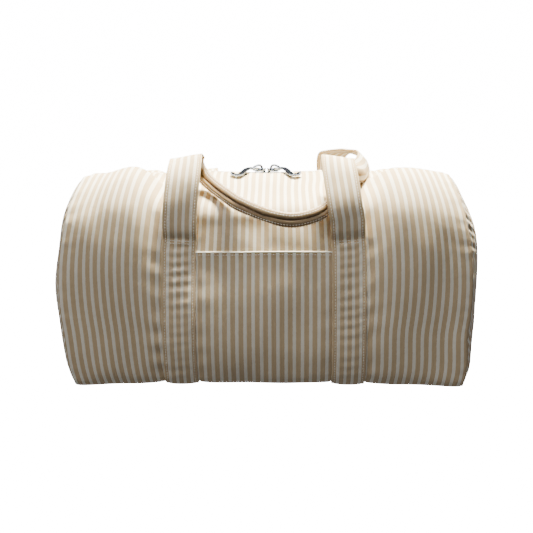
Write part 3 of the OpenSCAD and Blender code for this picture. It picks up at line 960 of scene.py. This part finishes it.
def pull_parts(pivot):
    """A ring round the bridge and a long flat tab that droops over the front lip and lifts at its end."""
    turn = math.radians(PULL_TURN)
    spin = np.array([[math.cos(turn), math.sin(turn), 0], [-math.sin(turn), math.cos(turn), 0], [0, 0, 1]])
    ring = [(4.4 + 4.7 * math.cos(a), 4.7 * math.sin(a), 0.9) for a in np.linspace(0, 2 * math.pi, 33)]
    verts, faces = tube(np.array(ring), 1.35, 10)
    parts = [(verts @ spin.T + pivot, faces)]
    path = through([(7.8, -4, 0.9), (11.5, -12, -0.6), (15.5, -22, -4), (20, -31, -8.5), (26, -33, -8),
                    (PULL_REACH, -30, -3.5)], 40)
    path = path + pivot
    lowest = np.array([roof_z(x, y) for x, y, _ in path])
    front_edge = np.array([roof_z(x, y - 3.2) for x, y, _ in path])
    path[:, 2] = np.maximum(path[:, 2], np.maximum(lowest + 1.7, front_edge + 2.5))
    f = np.linspace(0, 1, len(path))
    half = 1.7 + 1.6 * smooth(0.0, 0.3, f) - 0.5 * smooth(0.75, 1.0, f)
    half = half * np.sqrt(np.clip(1 - np.clip((f - 0.9) / 0.1, 0, 1) ** 2, 0.03, 1))
    around = np.linspace(0, 2 * math.pi, 20, endpoint=False)
    wide = np.sign(np.cos(around)) * np.abs(np.cos(around)) ** 0.6
    thick = 1.25 * np.sign(np.sin(around)) * np.abs(np.sin(around)) ** 0.8 - 0.25 * (1 - wide**2)
    tangent = unit(np.gradient(path, axis=0))
    face = np.array([0.0, -0.36, 0.93])
    face = unit(face - tangent * (tangent @ face)[:, None])
    aside = np.cross(face, tangent)
    verts = path[:, None] + aside[:, None] * (half[:, None] * wide)[..., None]
    verts = (verts + face[:, None] * thick[None, :, None]).reshape(-1, 3)
    faces = [tuple(k) for k in grid_faces(len(path), 20, wrap_cols=True)]
    faces.append(tuple(range(20))[::-1])
    faces.append(tuple(range(len(verts) - 20, len(verts))))
    parts.append((verts, faces))
    return parts


def build_sliders():
    for name, side in (("left", -1), ("right", 1)):
        low, high = node_box("right_slider")
        pivot = np.array([low[0] + HINGE_FROM_NOSE, 0, high[2] - HINGE_UNDER_TOP])
        for kind, parts in (("slider", slider_parts(low, high)), ("pull", pull_parts(pivot))):
            node = name + "_" + kind
            if side < 0:
                parts = [(v * [-1, 1, 1], [f[::-1] for f in faces]) for v, faces in parts]
            piece = join_parts(node + "_metal", parts)
            paint(piece, NICKEL)
            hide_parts(node)
            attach(piece, node)


def dress_cad_nodes():
    paint(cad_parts["base_board"], BOARD)


build_shell()
build_pocket()
build_straps()
build_zipper()
build_sliders()
dress_cad_nodes()

# ---------------------------------------------------------------- camera, floor and light


def look_at(obj, target):
    obj.rotation_euler = (Vector(target) - obj.location).to_track_quat("-Z", "Y").to_euler()


def area_light(name, place, target, size, power, colour=(1, 1, 1)):
    data = bpy.data.lights.new(name, "AREA")
    data.shape = "RECTANGLE"
    data.size, data.size_y = size
    data.energy = power
    data.color = colour
    obj = bpy.data.objects.new(name, data)
    obj.location = place
    bpy.context.scene.collection.objects.link(obj)
    look_at(obj, target)
    return obj


def make_camera():
    data = bpy.data.cameras.new("camera")
    data.sensor_width = 36
    data.lens = 47.5
    data.shift_x = -0.001
    data.shift_y = 0.016
    obj = bpy.data.objects.new("camera", data)
    aim = Vector((0, 0, 0.114))
    distance, turn, rise = 0.89, math.radians(1.8), math.radians(8)
    level = distance * math.cos(rise)
    obj.location = aim + Vector((level * math.sin(turn), -level * math.cos(turn), distance * math.sin(rise)))
    bpy.context.scene.collection.objects.link(obj)
    look_at(obj, aim)
    obj.rotation_euler.rotate_axis("Z", math.radians(-0.3))
    bpy.context.scene.camera = obj


def dome_mesh(name, radius):
    """The inside of a half ball standing on the floor."""
    rings, cols = 24, 64
    rise = np.linspace(0, math.pi / 2 - 0.01, rings)[:, None]
    turn = np.linspace(0, 2 * math.pi, cols, endpoint=False)[None, :]
    x = radius * np.cos(rise) * np.cos(turn)
    y = radius * np.cos(rise) * np.sin(turn)
    z = np.broadcast_to(radius * np.sin(rise), x.shape)
    points = np.stack([x, y, z], axis=-1).reshape(-1, 3) / MM
    faces = [tuple(f) for f in grid_faces(rings, cols, wrap_cols=True, flip=True)]
    faces.append(tuple(range((rings - 1) * cols, rings * cols)))
    return mesh_object(name, points, faces)


def make_stage():
    mesh = bpy.data.meshes.new("floor")
    mesh.from_pydata([(-9, -9, 0), (9, -9, 0), (9, 9, 0), (-9, 9, 0)], [], [(0, 1, 2, 3)])
    floor = bpy.data.objects.new("floor", mesh)
    bpy.context.scene.collection.objects.link(floor)
    n = Nodes("pale_floor")
    n.set(Base_Color=(0.85, 0.85, 0.85, 1), Roughness=0.9, Emission_Color=(1, 1, 1, 1), Emission_Strength=20)
    paint(floor, n.material)
    backdrop = dome_mesh("backdrop", 7.0)
    n = Nodes("white_backdrop")
    n.set(Base_Color=(0.9, 0.9, 0.9, 1), Roughness=1.0, Emission_Color=(1, 1, 1, 1), Emission_Strength=16)
    paint(backdrop, n.material)
    for obj in (floor, backdrop):
        obj.visible_diffuse = False
        obj.visible_glossy = False
        obj.visible_shadow = False
    world = bpy.data.worlds.new("studio")
    world.use_nodes = True
    world.node_tree.nodes["Background"].inputs["Color"].default_value = (1.0, 0.98, 0.95, 1)
    world.node_tree.nodes["Background"].inputs["Strength"].default_value = 0.22
    bpy.context.scene.world = world


make_camera()
make_stage()
overhead = area_light("overhead", (0.1, 0.25, 1.75), (0, 0, 0.2), (0.5, 0.4), 425, (1.0, 0.91, 0.70))
overhead.visible_glossy = False
area_light("front_fill", (-0.65, -0.9, 1.8), (0, 0, 0.1), (0.5, 0.4), 20, (1.0, 0.95, 0.88))
card = area_light("sheen_card", (0, -0.3, 1.7), (0, 0, 0.2), (1.6, 1.0), 40, (1.0, 0.97, 0.93))
card.visible_diffuse = False
